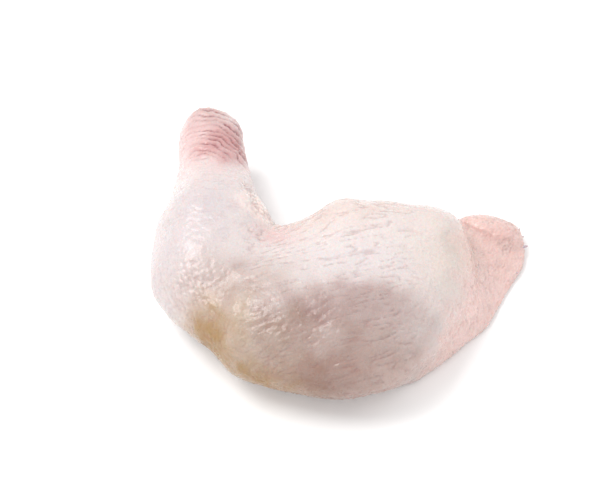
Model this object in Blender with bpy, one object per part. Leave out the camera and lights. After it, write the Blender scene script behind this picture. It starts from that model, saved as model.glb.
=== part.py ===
"""A raw chicken leg quarter lying skin side up: drumstick, knee and thigh under one skin,
with the loose skin of the thigh spread beside it and the shank bone showing at the cut hock.

Metres, +Z up. The drumstick points along +Y and the thigh lies along +X. The origin is the
centre of the bounding box, on the surface that the meat lies on.
"""
import math

import bmesh
import bpy
import numpy as np

# Driving sizes: how thick the meat is, how slim the ankle gets and how thick the skin is.
THIGH_HEIGHT = 0.0410
ANKLE_RADIUS = 0.0141
SKIN_THICKNESS = 0.0026

# The muscles under the skin, each with its centre, half sizes and turn about Z in degrees.
THIGH_MIDDLE = 0.45 * THIGH_HEIGHT
THIGH_HALF = 0.0215
MUSCLES = {
    "calf": ((-0.0518, 0.0016, 0.0195), (0.0245, 0.0290, 0.0205), 0),
    "knee": ((-0.0513, -0.0144, 0.0185), (0.0255, 0.0240, 0.0185), 0),
    "front of the thigh": ((-0.0290, -0.0342, THIGH_MIDDLE), (0.0350, 0.0278, 0.0195), -35),
    "thigh": ((-0.0018, -0.0274, THIGH_MIDDLE), (0.0440, 0.0430, THIGH_HALF), 0),
    "back of the thigh": ((0.0232, -0.0134, 0.0100), (0.0310, 0.0330, 0.0230), 0),
    "rolled skin": ((0.0614, 0.0196, 0.0055), (0.0125, 0.0080, 0.0062), -12),
}

# The soft blend between neighbouring muscles, and the one where the loose skin starts.
BLEND = 0.0030
DRAPE = 0.0050

# The line of the shank from the calf to the hock, and how it swells towards the calf.
SHANK_START = np.array((-0.0520, 0.0136, 0.0195))
SHANK_END = np.array((-0.0560, 0.0736, 0.0175))
SHANK_SWELL = 0.0062
SWELL_ENDS = 0.75
SWELL_POWER = 1.7

# Places and radii along the hip's edge of the thigh, and in plan along the loose skin.
HIP = (
    (0.0055, 0.0001, 0.0180, 0.0217),
    (0.0342, 0.0036, 0.0165, 0.0176),
)
FLAP = (
    (0.0580, 0.0101, 0.0176),
    (0.0442, -0.0124, 0.0188),
    (0.0192, -0.0204, 0.0319),
)
FLAP_EDGE = 0.0022
FLAP_SLOPE = 0.30
FLAP_ROUNDING = 0.0006

# The saw cut through the hock leans back, so that it faces a little down.
CUT_PLACE = np.array((-0.0556, 0.0672, 0.0178))
CUT_TILT = math.radians(14)
RECESS_DEPTH = 0.0040
LIP_DEPTH = 0.0012
LIP_FLARE = 0.0007

# Folds of slack skin across the hock. They slant, waver and differ in depth.
HOCK_FOLD_SPACING = 0.0054
HOCK_FOLD_DEPTH = 0.0013
HOCK_FOLD_SLANT = 0.45
HOCK_START, HOCK_FULL, HOCK_END = 0.0306, 0.0430, 0.0720
HOCK_TOP = (0.012, 0.028)
RIM_TAPER = 0.0010

# The small knob below the folds.
KNOB_PLACE = (-0.0508, 0.0411, 0.0310)
KNOB_RADIUS = 0.0042
KNOB_HEIGHT = 0.0013

# The uneven swell of the flesh: its height, and its waves' number and shortest and longest.
SWELL_HEIGHT = 0.0004
SWELL_WAVES = 9
SWELL_LENGTHS = (0.012, 0.030)
SWELL_SEED = 5

# Ridges and furrows along lines in plan, each with its width and its height.
LINES = {
    "fold above the loose skin": (
        ((0.0492, 0.0201), (0.0572, 0.0136), (0.0652, 0.0101), (0.0752, 0.0111)), 0.0024, -0.0016),
    "valley between calf and thigh": (
        ((-0.0223, 0.0096), (-0.0331, -0.0074), (-0.0408, -0.0197), (-0.0458, -0.0294)), 0.0090, -0.0009),
    "tendon under the knee": (((-0.0418, -0.0364), (-0.0420, -0.0524)), 0.0035, 0.0010),
    "hollow beside the tendon": (((-0.0478, -0.0364), (-0.0508, -0.0484)), 0.0060, -0.0009),
}
RELIEF_STARTS, RELIEF_FULL = 0.0003, 0.0060

# The shank bone, measured from the two-lobed knuckle that shows in the cut.
BONE_LENGTH = 0.078
BONE_SHOWS = 0.0031
SHAFT_RADIUS = 0.0044
KNUCKLE_WIDTH = 0.0073
KNUCKLE_HEIGHT = 0.0058
KNUCKLE_LENGTH = 0.0200
KNUCKLE_CAP = 0.0034
KNUCKLE_GROOVE = 0.0016
CLEARANCE = 0.0003
SIDES = 32

# The space that the surface is worked out in, how finely, and what is kept of it.
STEP = 0.0013
LOW = np.array((-0.091, -0.083, -0.006))
HIGH = np.array((0.091, 0.093, 0.052))
SKIN_TRIANGLES = 8600


def smooth_step(value, start, end):
    """0 before start, 1 after end and a soft rise between them."""
    share = np.clip((value - start) / (end - start), 0, 1)
    return share * share * (3 - 2 * share)


def smooth_union(rows, blend):
    """Distance to several shapes at once, filled softly where they meet."""
    return -blend * np.log(np.exp(-rows / blend).sum(0))


def along_and_off(p, start, end):
    """How far along a line each point lies, from 0 to 1, and its distance from the line."""
    axis = np.array(end) - np.array(start)
    q = p - np.array(start)
    along = np.clip((q @ axis) / (axis @ axis), 0, 1)
    return along, np.linalg.norm(q - along[..., None] * axis, axis=-1)


def ellipsoid(p, centre, half, turn=0.0):
    """Distance to an ellipsoid turned about Z, exact to first order near its surface."""
    c, s = math.cos(turn), math.sin(turn)
    q = p - np.array(centre)
    q = np.stack((c * q[..., 0] + s * q[..., 1], c * q[..., 1] - s * q[..., 0], q[..., 2]), -1)
    half = np.array(half)
    near = np.linalg.norm(q / half, axis=-1)
    slope = np.linalg.norm(q / half**2, axis=-1)
    return near * (near - 1) / np.maximum(slope, 1e-6)


def limb(p, stations):
    """Distance to a tapered limb through stations, each a place and a radius."""
    rows = []
    for start, end in zip(stations, stations[1:]):
        along, off = along_and_off(p, start[:-1], end[:-1])
        rows.append(off - start[-1] - (end[-1] - start[-1]) * along)
    return np.min(rows, axis=0)


def shank(p):
    """Distance to the lower drumstick, slim at the hock and swelling towards the calf."""
    along, off = along_and_off(p, SHANK_START, SHANK_END)
    return off - ANKLE_RADIUS - SHANK_SWELL * np.clip(1 - along / SWELL_ENDS, 0, 1)**SWELL_POWER


def masses(p):
    """One row of distances for each muscle, the shank and the hip."""
    rows = [ellipsoid(p, centre, half, math.radians(turn)) for centre, half, turn in MUSCLES.values()]
    return np.stack(rows + [shank(p), limb(p, HIP)])


def flap(p):
    """The loose skin beside the thigh: thin at its edge on the table, rising towards the meat."""
    edge = limb(p[..., :2], FLAP)
    top = p[..., 2] - FLAP_EDGE - FLAP_SLOPE * np.maximum(-edge, 0)
    return -smooth_union(-np.stack((edge, top)), FLAP_ROUNDING)


def near_line(p, line, width):
    """1 above a line in plan, falling softly to 0 about a width away from it."""
    off = np.min([along_and_off(p[..., :2], a, b)[1] for a, b in zip(line, line[1:])], axis=0)
    return np.exp(-(off / width)**2)


def hock_folds(p):
    """Uneven folds across the hock, rounded on top and creased between, deepest above."""
    across, y, z = p[..., 0] - SHANK_END[0], p[..., 1], p[..., 2]
    waver = 0.35 * np.sin(across * 230 + 1.3) + 0.25 * np.sin(y * 210 - z * 150)
    phase = (y + HOCK_FOLD_SLANT * across) / HOCK_FOLD_SPACING + waver
    uneven = np.clip(0.6 + 0.5 * np.sin(across * 310 + y * 190 + z * 240), 0, 1)
    above = 0.35 + 0.65 * smooth_step(z, *HOCK_TOP)
    zone = smooth_step(y, HOCK_START, HOCK_FULL) * (1 - 0.6 * smooth_step(y, HOCK_FULL, HOCK_END))
    return zone * above * uneven * (np.abs(np.sin(math.pi * phase)) - 0.6)


def swell(p):
    """The uneven swell of muscle and fat: a few long waves in drawn directions."""
    draw = np.random.default_rng(SWELL_SEED)
    total = 0
    for _ in range(SWELL_WAVES):
        heading = draw.normal(size=3)
        heading *= 2 * math.pi / draw.uniform(*SWELL_LENGTHS) / np.linalg.norm(heading)
        total = total + np.sin(p @ heading + draw.uniform(0, 2 * math.pi))
    return total / math.sqrt(SWELL_WAVES)


def relief(p):
    """How far the skin stands out from the smooth muscles under it, and not at all on the table."""
    knob = np.exp(-((p - np.array(KNOB_PLACE))**2).sum(-1) / KNOB_RADIUS**2)
    height = HOCK_FOLD_DEPTH * hock_folds(p) + KNOB_HEIGHT * knob + SWELL_HEIGHT * swell(p)
    height = height - RIM_TAPER * smooth_step(p[..., 1], CUT_PLACE[1] - 2 * RECESS_DEPTH, HOCK_END)
    for line, width, rise in LINES.values():
        height = height + rise * near_line(p, line, width)
    return height * smooth_step(p[..., 2], RELIEF_STARTS, RELIEF_FULL)


def field(p):
    """Negative inside the smooth form of the meat and positive outside it."""
    meat = smooth_union(masses(p), BLEND)
    skin = smooth_union(np.stack((meat, flap(p))), DRAPE)
    return np.maximum(skin, -p[..., 2])


def outward(p):
    """The direction in which the field grows, which is the surface's normal."""
    reach = STEP * np.eye(3)
    slope = np.stack([field(p + side) - field(p - side) for side in reach], -1)
    return slope / np.linalg.norm(slope, axis=-1, keepdims=True)


def surface_net(values, low, step):
    """A closed quad mesh where the field crosses zero, with one vertex for each cell it crosses."""
    cells = tuple(n - 1 for n in values.shape)
    total = np.zeros(cells + (3,))
    count = np.zeros(cells)
    edges = []
    for axis in range(3):
        b, c = (axis + 1) % 3, (axis + 2) % 3
        start, end = np.delete(values, -1, axis), np.delete(values, 0, axis)
        crossed = (start < 0) != (end < 0)
        share = np.where(crossed, start / np.where(crossed, start - end, 1), 0)
        edges.append((axis, b, c, crossed, start < 0))
        for step_b in (0, 1):
            for step_c in (0, 1):
                window = [slice(None)] * 3
                window[b] = slice(step_b, cells[b] + step_b)
                window[c] = slice(step_c, cells[c] + step_c)
                hit = crossed[tuple(window)]
                total[..., axis] += share[tuple(window)]
                total[..., b] += hit * step_b
                total[..., c] += hit * step_c
                count += hit
    used = count > 0
    index = np.full(cells, -1)
    index[used] = np.arange(used.sum())
    points = low + (np.argwhere(used) + total[used] / count[used][:, None]) * step
    quads = []
    for axis, b, c, crossed, outward in edges:
        at = np.argwhere(crossed)
        side_b, side_c = np.eye(3, dtype=int)[b], np.eye(3, dtype=int)[c]
        ring = [index[tuple((at - o).T)] for o in (side_b + side_c, side_c, 0, side_b)]
        ring = np.stack(ring, 1)
        flip = ~outward[tuple(at.T)]
        ring[flip] = ring[flip][:, ::-1]
        quads.append(ring)
    return points, np.concatenate(quads)


def add_object(name, points, faces):
    mesh = bpy.data.meshes.new(name)
    mesh.from_pydata(np.asarray(points).tolist(), [], [list(map(int, face)) for face in faces])
    mesh.update()
    obj = bpy.data.objects.new(name, mesh)
    bpy.context.scene.collection.objects.link(obj)
    return obj


def lofted(name, start, axis, sections):
    """A closed tube of oval rings along an axis.

    Each section is (distance along, half width, half height, groove), where the groove pulls
    the ring's middle back along the axis.
    """
    axis = axis / np.linalg.norm(axis)
    side = np.cross(axis, (0, 0, 1))
    side /= np.linalg.norm(side)
    upward = np.cross(side, axis)
    turn = np.linspace(0, 2 * math.pi, SIDES, endpoint=False)
    points = []
    for along, width, height, groove in sections:
        across = width * np.cos(turn)
        pulled = along + groove * np.exp(-(across / (0.35 * KNUCKLE_WIDTH))**2)
        ring = across[:, None] * side + (height * np.sin(turn))[:, None] * upward
        points.extend(start + ring + pulled[:, None] * axis)
    first, last = sections[0], sections[-1]
    points.append(start + (first[0] + first[3]) * axis)
    points.append(start + (last[0] + last[3]) * axis)
    count = len(sections)
    faces = []
    for k in range(count - 1):
        for j in range(SIDES):
            a, b = k * SIDES + j, k * SIDES + (j + 1) % SIDES
            faces.append((a, b, b + SIDES, a + SIDES))
    for j in range(SIDES):
        k = (j + 1) % SIDES
        faces.append((k, j, count * SIDES))
        faces.append(((count - 1) * SIDES + j, (count - 1) * SIDES + k, count * SIDES + 1))
    obj = add_object(name, points, faces)
    bm = bmesh.new()
    bm.from_mesh(obj.data)
    bmesh.ops.recalc_face_normals(bm, faces=bm.faces)
    bm.to_mesh(obj.data)
    bm.free()
    return obj


def bone_sections(clearance):
    """Rings from the knuckle's cap, down its neck and along the shaft to its round end."""
    sections = []
    for share in (0.30, 0.60, 0.82, 0.96, 1.0):
        flat = math.sqrt(1 - share * share)
        sections.append((KNUCKLE_CAP * (1 - flat) - clearance, share * KNUCKLE_WIDTH + clearance,
                         share * KNUCKLE_HEIGHT + clearance, KNUCKLE_GROOVE * flat))
    for share in (0.2, 0.4, 0.6, 0.8, 1.0):
        along = KNUCKLE_CAP + share * (KNUCKLE_LENGTH - KNUCKLE_CAP)
        neck = float(smooth_step(share, 0, 1))
        width = KNUCKLE_WIDTH + neck * (SHAFT_RADIUS - KNUCKLE_WIDTH)
        height = KNUCKLE_HEIGHT + neck * (SHAFT_RADIUS - KNUCKLE_HEIGHT)
        sections.append((along, width + clearance, height + clearance, 0))
    for share in (0, 0.5, 0.8, 0.97):
        radius = SHAFT_RADIUS * math.sqrt(1 - share * share) + clearance
        along = BONE_LENGTH - SHAFT_RADIUS * (1 - share) + clearance * share
        sections.append((along, radius, radius, 0))
    return sections


def cut_facing():
    return np.array((0, math.cos(CUT_TILT), -math.sin(CUT_TILT)))


def shank_bone(name, clearance=0.0):
    axis = SHANK_START - SHANK_END
    floor = CUT_PLACE - cut_facing() * RECESS_DEPTH
    start = floor - axis / np.linalg.norm(axis) * BONE_SHOWS
    return lofted(name, start, axis, bone_sections(clearance))


def saw_cut(name):
    """What the saw takes off: all beyond the cut, and the hollow inside the rim of skin."""
    inner = ANKLE_RADIUS - SKIN_THICKNESS
    beyond = 2.5 * ANKLE_RADIUS
    sections = [(along, radius, radius, 0) for along, radius in (
        (-RECESS_DEPTH, inner - LIP_FLARE),
        (-LIP_DEPTH, inner),
        (0, inner + LIP_FLARE),
        (0, beyond),
        (beyond, beyond),
    )]
    return lofted(name, CUT_PLACE, cut_facing(), sections)


def material(name, colour, roughness):
    made = bpy.data.materials.new(name)
    made.use_nodes = True
    shader = made.node_tree.nodes["Principled BSDF"]
    shader.inputs["Base Color"].default_value = (*colour, 1)
    shader.inputs["Roughness"].default_value = roughness
    shader.inputs["Metallic"].default_value = 0
    return made


def cut_with(obj, cutter):
    cutter.hide_render = True
    cutter.display_type = "WIRE"
    boolean = obj.modifiers.new(cutter.name, "BOOLEAN")
    boolean.operation = "DIFFERENCE"
    boolean.solver = "EXACT"
    boolean.object = cutter


def leg_quarter():
    counts = np.ceil((HIGH - LOW) / STEP).astype(int) + 1
    axes = [LOW[k] + STEP * np.arange(counts[k]) for k in range(3)]
    grid = np.stack(np.meshgrid(*axes, indexing="ij"), -1)
    points, quads = surface_net(field(grid), LOW, STEP)
    points += relief(points)[:, None] * outward(points)
    leg = add_object("leg_quarter", points, quads)
    thin_out = leg.modifiers.new("thin out", "DECIMATE")
    thin_out.ratio = SKIN_TRIANGLES / (2 * len(quads))
    cut_with(leg, saw_cut("saw_cut"))
    cut_with(leg, shank_bone("bore", CLEARANCE))
    return leg


def centre_in_plan(leg):
    """Puts the origin at the middle of the cut leg's box, and leaves the heights as they are."""
    bpy.context.view_layer.update()
    cut = leg.evaluated_get(bpy.context.evaluated_depsgraph_get())
    corners = np.array([corner[:] for corner in cut.bound_box])
    middle = (corners.min(0) + corners.max(0)) / 2
    for obj in bpy.data.objects:
        obj.location = (-middle[0], -middle[1], 0)


def main():
    for obj in list(bpy.data.objects):
        bpy.data.objects.remove(obj)
    leg = leg_quarter()
    bone = shank_bone("shank_bone")
    centre_in_plan(leg)
    leg.data.materials.append(material("raw skin", (0.86, 0.70, 0.67), 0.45))
    bone.data.materials.append(material("bone", (0.84, 0.78, 0.72), 0.35))


main()
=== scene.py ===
# %% [markdown]
# # A raw chicken leg quarter
#
# The real thing is one soft piece: muscle under a pale, wet skin that is full of small
# goose bumps, fine wrinkles and a few folds. The solid from the workshop already has its
# true size and its large forms. This lesson gives it the skin: first the fine shape, in
# the mesh itself, and then the colour and the wet shine.

# %% Load the frame and measure it
import math

import bmesh
import bpy
import numpy as np
from mathutils import Matrix, Vector


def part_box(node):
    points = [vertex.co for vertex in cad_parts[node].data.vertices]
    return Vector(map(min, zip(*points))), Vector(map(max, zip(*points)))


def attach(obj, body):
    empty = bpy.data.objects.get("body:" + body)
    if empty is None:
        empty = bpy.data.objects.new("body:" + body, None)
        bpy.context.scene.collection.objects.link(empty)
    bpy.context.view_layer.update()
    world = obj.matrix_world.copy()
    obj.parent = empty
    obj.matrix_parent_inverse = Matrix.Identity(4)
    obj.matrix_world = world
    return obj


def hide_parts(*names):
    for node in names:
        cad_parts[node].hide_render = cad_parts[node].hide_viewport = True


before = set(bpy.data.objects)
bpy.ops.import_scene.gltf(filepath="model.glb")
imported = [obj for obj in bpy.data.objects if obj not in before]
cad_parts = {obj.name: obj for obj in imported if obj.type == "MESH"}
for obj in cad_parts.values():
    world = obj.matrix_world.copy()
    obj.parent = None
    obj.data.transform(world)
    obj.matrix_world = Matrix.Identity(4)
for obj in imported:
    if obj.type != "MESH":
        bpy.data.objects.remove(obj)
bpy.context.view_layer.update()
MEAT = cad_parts["leg_quarter"]
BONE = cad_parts["shank_bone"]
low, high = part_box("leg_quarter")
print("the leg is", [round((b - a) * 1000) for a, b in zip(low, high)], "mm")

# %% [markdown]
# ## The camera
#
# The photograph looks down on the leg at a steep angle from some way off, so the far end
# hardly shrinks. A long lens about 85 cm away gives that calm view. The camera is aimed
# at a point on the table, left of the leg's middle, as the leg lies right of the middle
# of the picture.

# %% Set up the camera
VIEW_HEIGHT = math.radians(50)
VIEW_DISTANCE = 0.85
VIEW_CENTRE = Vector((-0.0169, 0.0196, 0.0))
LENS = 120.6
SENSOR_WIDTH = 36
NEAREST_SEEN = 0.01

camera_data = bpy.data.cameras.new("camera")
camera_data.lens = LENS
camera_data.sensor_width = SENSOR_WIDTH
camera_data.clip_start = NEAREST_SEEN
camera = bpy.data.objects.new("camera", camera_data)
bpy.context.scene.collection.objects.link(camera)
back = Vector((0, -math.cos(VIEW_HEIGHT), math.sin(VIEW_HEIGHT)))
camera.location = VIEW_CENTRE + VIEW_DISTANCE * back
camera.rotation_euler = back.to_track_quat("Z", "Y").to_euler()
bpy.context.scene.camera = camera
print("the camera stands", round(camera.location.z, 3), "m above the table")

# %% [markdown]
# ## The table
#
# Food like this is photographed on a white sweep, a sheet that curves up out of sight.
# The camera sees only its flat part, so one large plane is enough. The helpers turn screen
# colours into the linear values that Blender mixes, and start each material.

# %% Lay the white table
FLOOR_SIZE = 8.0
FLOOR_DROP = 0.0002
FLOOR_WHITE = (0.93, 0.93, 0.93, 1)


def srgb(red, green, blue):
    """A colour as it looks on a screen, 0 to 255, given as linear values for shaders."""
    values = np.array((red, green, blue)) / 255
    linear = np.where(values <= 0.04045, values / 12.92, ((values + 0.055) / 1.055)**2.4)
    return tuple(float(value) for value in linear)


def new_material(name):
    made = bpy.data.materials.new(name)
    made.use_nodes = True
    return made, made.node_tree.nodes["Principled BSDF"]


def set_inputs(node, **values):
    """Sets constant inputs of a node, with spaces in their names written as underscores."""
    for name, value in values.items():
        node.inputs[name.replace("_", " ")].default_value = value


bpy.ops.mesh.primitive_plane_add(size=FLOOR_SIZE, location=(0, 0, -FLOOR_DROP))
floor = bpy.context.object
floor.name = "floor"
floor_look, floor_shader = new_material("white sweep")
set_inputs(floor_shader, Base_Color=FLOOR_WHITE, Roughness=0.9)
floor.data.materials.append(floor_look)
print("the table is", FLOOR_SIZE, "m wide")

# %% [markdown]
# ## The light
#
# The main lamp is a large soft panel at the upper left, slightly behind the leg. It makes
# the tops bright and leaves the near, lower side in soft shade. A weak lamp at the right
# lifts the loose skin, and one in front keeps the shade open. A bright white room softens
# the shadow on the table.

# %% Hang the lamps
# Each lamp: its name, its place, the width of its panel, its power and its colour.
LAMPS = (
    ("top lamp", (-0.62, 0.20, 1.00), 0.75, 9.7, (1.0, 0.99, 0.98)),
    ("side lamp", (0.75, 0.25, 0.75), 0.9, 1.9, (1.0, 0.98, 0.98)),
    ("front lamp", (0.1, -1.2, 0.45), 1.1, 3.8, (1.0, 0.99, 0.99)),
)
ROOM_LIGHT = 0.84


def hang_lamp(name, place, size, power, colour):
    """A square panel of light that faces the leg."""
    data = bpy.data.lights.new(name, "AREA")
    data.size = size
    data.energy = power
    data.color = colour
    obj = bpy.data.objects.new(name, data)
    bpy.context.scene.collection.objects.link(obj)
    obj.location = place
    obj.rotation_euler = Vector(place).to_track_quat("Z", "Y").to_euler()


for panel in LAMPS:
    hang_lamp(*panel)
world = bpy.data.worlds.new("studio air")
world.use_nodes = True
set_inputs(world.node_tree.nodes["Background"], Color=(1, 1, 1, 1), Strength=ROOM_LIGHT)
bpy.context.scene.world = world
bpy.context.scene.view_settings.view_transform = "Standard"
print(len(LAMPS), "soft lamps and a bright room")

# %% [markdown]
# ## The meat's body
#
# The workshop's solid is made of flat triangles about 3 mm long, which a wet skin would
# show at once. A copy is rounded with Subdivision Surface and then remeshed into even
# small squares, so that fine relief has vertices to move. The hole that the bone sits in
# would only waste them, so a plug closes it first.

# %% Copy the meat, plug the bone's hole and remesh the copy finely
CUT_PLACE = Vector((-0.0554, 0.0670, 0.0178))
CUT_TILT = math.radians(14)
CUT_FACING = Vector((0, math.cos(CUT_TILT), -math.sin(CUT_TILT)))
RECESS_DEPTH = 0.0040
PLUG_GROWTH = 0.0006
WELD_DISTANCE = 1e-6
ROUNDING_LEVELS = 2
VOXEL = 0.00074
SOFTEN_SHARE = 0.5
SOFTEN_ROUNDS = 6


def linked(name, mesh):
    obj = bpy.data.objects.new(name, mesh)
    bpy.context.scene.collection.objects.link(obj)
    return obj


def welded_copy(node, name):
    """A copy of a workshop solid with its loose triangles joined into one surface."""
    obj = linked(name, node.data.copy())
    obj.data.materials.clear()
    bm = bmesh.new()
    bm.from_mesh(obj.data)
    bmesh.ops.remove_doubles(bm, verts=bm.verts, dist=WELD_DISTANCE)
    bm.to_mesh(obj.data)
    bm.free()
    return obj


def apply_modifiers(obj):
    """Replaces an object's mesh with what its modifiers make of it."""
    bpy.context.view_layer.update()
    seen = obj.evaluated_get(bpy.context.evaluated_depsgraph_get())
    old, obj.data = obj.data, bpy.data.meshes.new_from_object(seen)
    obj.modifiers.clear()
    bpy.data.meshes.remove(old)


def add_rounding(obj):
    """Subdivision Surface, as fine on the screen as in the render."""
    rounding = obj.modifiers.new("round the facets", "SUBSURF")
    rounding.levels = rounding.render_levels = ROUNDING_LEVELS


def bone_plug():
    """The bone below the floor of the recess, a little fatter than its hole."""
    plug = welded_copy(BONE, "plug")
    bm = bmesh.new()
    bm.from_mesh(plug.data)
    floor_place = CUT_PLACE - CUT_FACING * (RECESS_DEPTH + 2 * PLUG_GROWTH)
    everything = bm.verts[:] + bm.edges[:] + bm.faces[:]
    bmesh.ops.bisect_plane(bm, geom=everything, plane_co=floor_place, plane_no=CUT_FACING,
                           clear_outer=True)
    bmesh.ops.holes_fill(bm, edges=[edge for edge in bm.edges if edge.is_boundary])
    bmesh.ops.recalc_face_normals(bm, faces=bm.faces)
    for vertex in bm.verts:
        vertex.co += vertex.normal * PLUG_GROWTH
    bm.to_mesh(plug.data)
    bm.free()
    return plug


skin = welded_copy(MEAT, "raw_skin")
plug = bone_plug()
closing = skin.modifiers.new("close the hole", "BOOLEAN")
closing.operation = "UNION"
closing.solver = "EXACT"
closing.object = plug
add_rounding(skin)
remesh = skin.modifiers.new("even squares", "REMESH")
remesh.mode = "VOXEL"
remesh.voxel_size = VOXEL
soften = skin.modifiers.new("soften", "SMOOTH")
soften.factor = SOFTEN_SHARE
soften.iterations = SOFTEN_ROUNDS
apply_modifiers(skin)
bpy.data.objects.remove(plug)
print("the skin starts with", len(skin.data.polygons), "squares")

# %% [markdown]
# ## Soft shapes in numbers
#
# The skin isn't the same all over, so the next steps need ways to say "more here, less
# there". A soft step, a blob round a centre, a band along a path and slow random waves are
# enough. NumPy works each of them out for all the vertices at once.

# %% Write the helpers that work on all the vertices
def smooth_step(value, start, end):
    share = np.clip((value - start) / (end - start), 0, 1)
    return share * share * (3 - 2 * share)


def blob(points, centre, reach):
    """1 at a centre, falling softly to 0 at about a reach from it along each axis."""
    return np.exp(-(((points - np.array(centre)) / np.array(reach))**2).sum(-1))


def near_path(points, path, half_width):
    """1 on a path through space, falling to 0 a few half widths away from it."""
    nearest = np.full(len(points), np.inf)
    for first, last in zip(np.array(path)[:-1], np.array(path)[1:]):
        run = last - first
        share = np.clip((points - first) @ run / (run @ run), 0, 1)
        away = np.linalg.norm(points - first - share[:, None] * run, axis=1)
        nearest = np.minimum(nearest, away)
    return np.exp(-(nearest / half_width)**2)


def waves(points, size, seed, count=7):
    """A smooth random field of about -1 to 1, with swells of about the given size."""
    chance = np.random.default_rng(seed)
    total = np.zeros(len(points))
    for _ in range(count):
        direction = chance.normal(size=3)
        direction *= 2 * math.pi / (size * np.linalg.norm(direction)) * chance.uniform(0.6, 1.5)
        total += np.sin(points @ direction + chance.uniform(0, 2 * math.pi))
    return total / math.sqrt(count)


def vertex_array(mesh, attribute, size):
    flat = np.empty(len(mesh.vertices) * size, dtype=np.float32)
    mesh.vertices.foreach_get(attribute, flat)
    return flat.reshape(-1, size).astype(float)


def store(mesh, name, values):
    layer = mesh.attributes.new(name, "FLOAT", "POINT")
    layer.data.foreach_set("value", np.asarray(values, dtype=np.float32))


places = vertex_array(skin.data, "co", 3)
print("the helpers work on", len(places), "vertices at once")

# %% [markdown]
# ## The foot of the hip
#
# On the real leg the thick end of the thigh runs down into the loose skin without an edge.
# The solid has a sharp foot there. A Smooth modifier that works only on a vertex group
# along that foot lets the one flow into the other and leaves the rest alone.

# %% Let the hip run into the loose skin
HIP_FOOT = ((0.0505, 0.0190, 0.0120), (0.0560, 0.0060, 0.0110), (0.0575, -0.0080, 0.0100),
            (0.0540, -0.0220, 0.0100))
FOOT_REACH = 0.0060
FOOT_LEAST = 0.05
SETTLE_SHARE = 0.6
SETTLE_ROUNDS = 90

foot = skin.vertex_groups.new(name="hip foot")
closeness = near_path(places, HIP_FOOT, FOOT_REACH)
in_foot = np.nonzero(closeness > FOOT_LEAST)[0]
for index in in_foot:
    foot.add([int(index)], float(closeness[index]), "REPLACE")
settle = skin.modifiers.new("let the hip run into the loose skin", "SMOOTH")
settle.vertex_group = foot.name
settle.factor = SETTLE_SHARE
settle.iterations = SETTLE_ROUNDS
apply_modifiers(skin)
print(len(in_foot), "vertices at the foot of the hip were smoothed")

# %% [markdown]
# ## Zones of the skin
#
# The skin bunches up at the hock, creases at the knee, is drawn long over the thigh and
# lies loose and grainy at the hip. Each zone is a soft blob or band in space, stored on
# the vertices as a number from 0 to 1. The relief and the colours both read these numbers,
# so a wrinkle and its colour always meet. Where a zone's edge would look drawn with a
# ruler, random waves make it ragged.

# %% Paint the zones on the vertices
# The round zones: centre and reach, in metres.
ROUND_ZONES = {
    "knee": ((-0.060, -0.030, 0.030), (0.016, 0.017, 0.020)),
    "lower": ((-0.026, -0.060, 0.026), (0.026, 0.020, 0.022)),
    "fat": ((-0.052, -0.050, 0.020), (0.016, 0.016, 0.018)),
    "calf": ((-0.054, 0.010, 0.036), (0.030, 0.024, 0.030)),
}
# Where the other zones begin and end along one measure, in metres.
CUT_RIM = (0.0108, 0.0122)
CUT_FLOOR = (-0.0062, -0.0052)
HOCK_SPAN = (0.033, 0.045)
HOCK_TOP = (0.012, 0.027)
FLAP_SPAN = (0.0600, 0.0700)
FLAP_TOP = 0.022
HIP_SPAN = (0.020, 0.036)
SKIRT_SPAN = (0.022, 0.040)
SKIRT_TOP = 0.0235
RIM = ((-0.0385, 0.0210, 0.0320), (-0.0340, 0.0103, 0.0342), (-0.0284, 0.0109, 0.0260),
       (-0.0238, 0.0038, 0.0293))
RIM_HALF_WIDTH = 0.0045

places = vertex_array(skin.data, "co", 3)
x, y, z = places.T
behind_cut = (places - np.array(CUT_PLACE)) @ np.array(CUT_FACING)
off_axis = np.hypot(x - CUT_PLACE.x, z - CUT_PLACE.z)
cut = (1 - smooth_step(off_axis, *CUT_RIM)) * smooth_step(behind_cut, *CUT_FLOOR)

# The folds of the hock are weaker at its outer side and near the table.
hock = smooth_step(y, *HOCK_SPAN) * (x < -0.03)
loose = 1 - 0.75 * smooth_step(x, -0.055, -0.063)
loose *= (np.clip(0.80 + 0.40 * waves(places, 0.010, 5), 0.3, 1.1)
          * (0.45 + 0.55 * smooth_step(z, *HOCK_TOP)))
lower = blob(places, *ROUND_ZONES["lower"])
flap_edge = x + 0.62 * (0.006 - y)
flap = smooth_step(flap_edge, *FLAP_SPAN) * smooth_step(FLAP_TOP - z, 0, 0.006)
thigh = np.clip(smooth_step(x, -0.044, -0.034) * smooth_step(y, 0.006, -0.006)
                + smooth_step(x, -0.024, -0.014), 0, 1)
thigh = np.clip(thigh - flap - 0.8 * lower, 0, 1) * (1 - 0.8 * smooth_step(x, *HIP_SPAN))
# The loose skin starts below a ragged line round the thick end of the thigh.
ragged = 0.0020 * waves(places, 0.012, 3) + 0.0016 * waves(places, 0.004, 4)
skirt = smooth_step(SKIRT_TOP - z + ragged, -0.007, 0.008) * smooth_step(x + ragged, *SKIRT_SPAN)

zones = {
    "cut": cut,
    "hock": hock * loose,
    "knee": blob(places, *ROUND_ZONES["knee"]),
    "fat": blob(places, *ROUND_ZONES["fat"]) * (1 - lower),
    "lower": lower,
    "calf": blob(places, *ROUND_ZONES["calf"]) * (1 - hock),
    "rim": near_path(places, RIM, RIM_HALF_WIDTH) * (1 - hock),
    "flap": skirt,
    "thigh": thigh,
    "hip": smooth_step(x, *HIP_SPAN) * (1 - skirt),
}
for name, values in zones.items():
    store(skin.data, name, values if name == "cut" else values * (1 - cut))
print("zones cover", {name: round(float(values.mean()), 2) for name, values in zones.items()})

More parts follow.
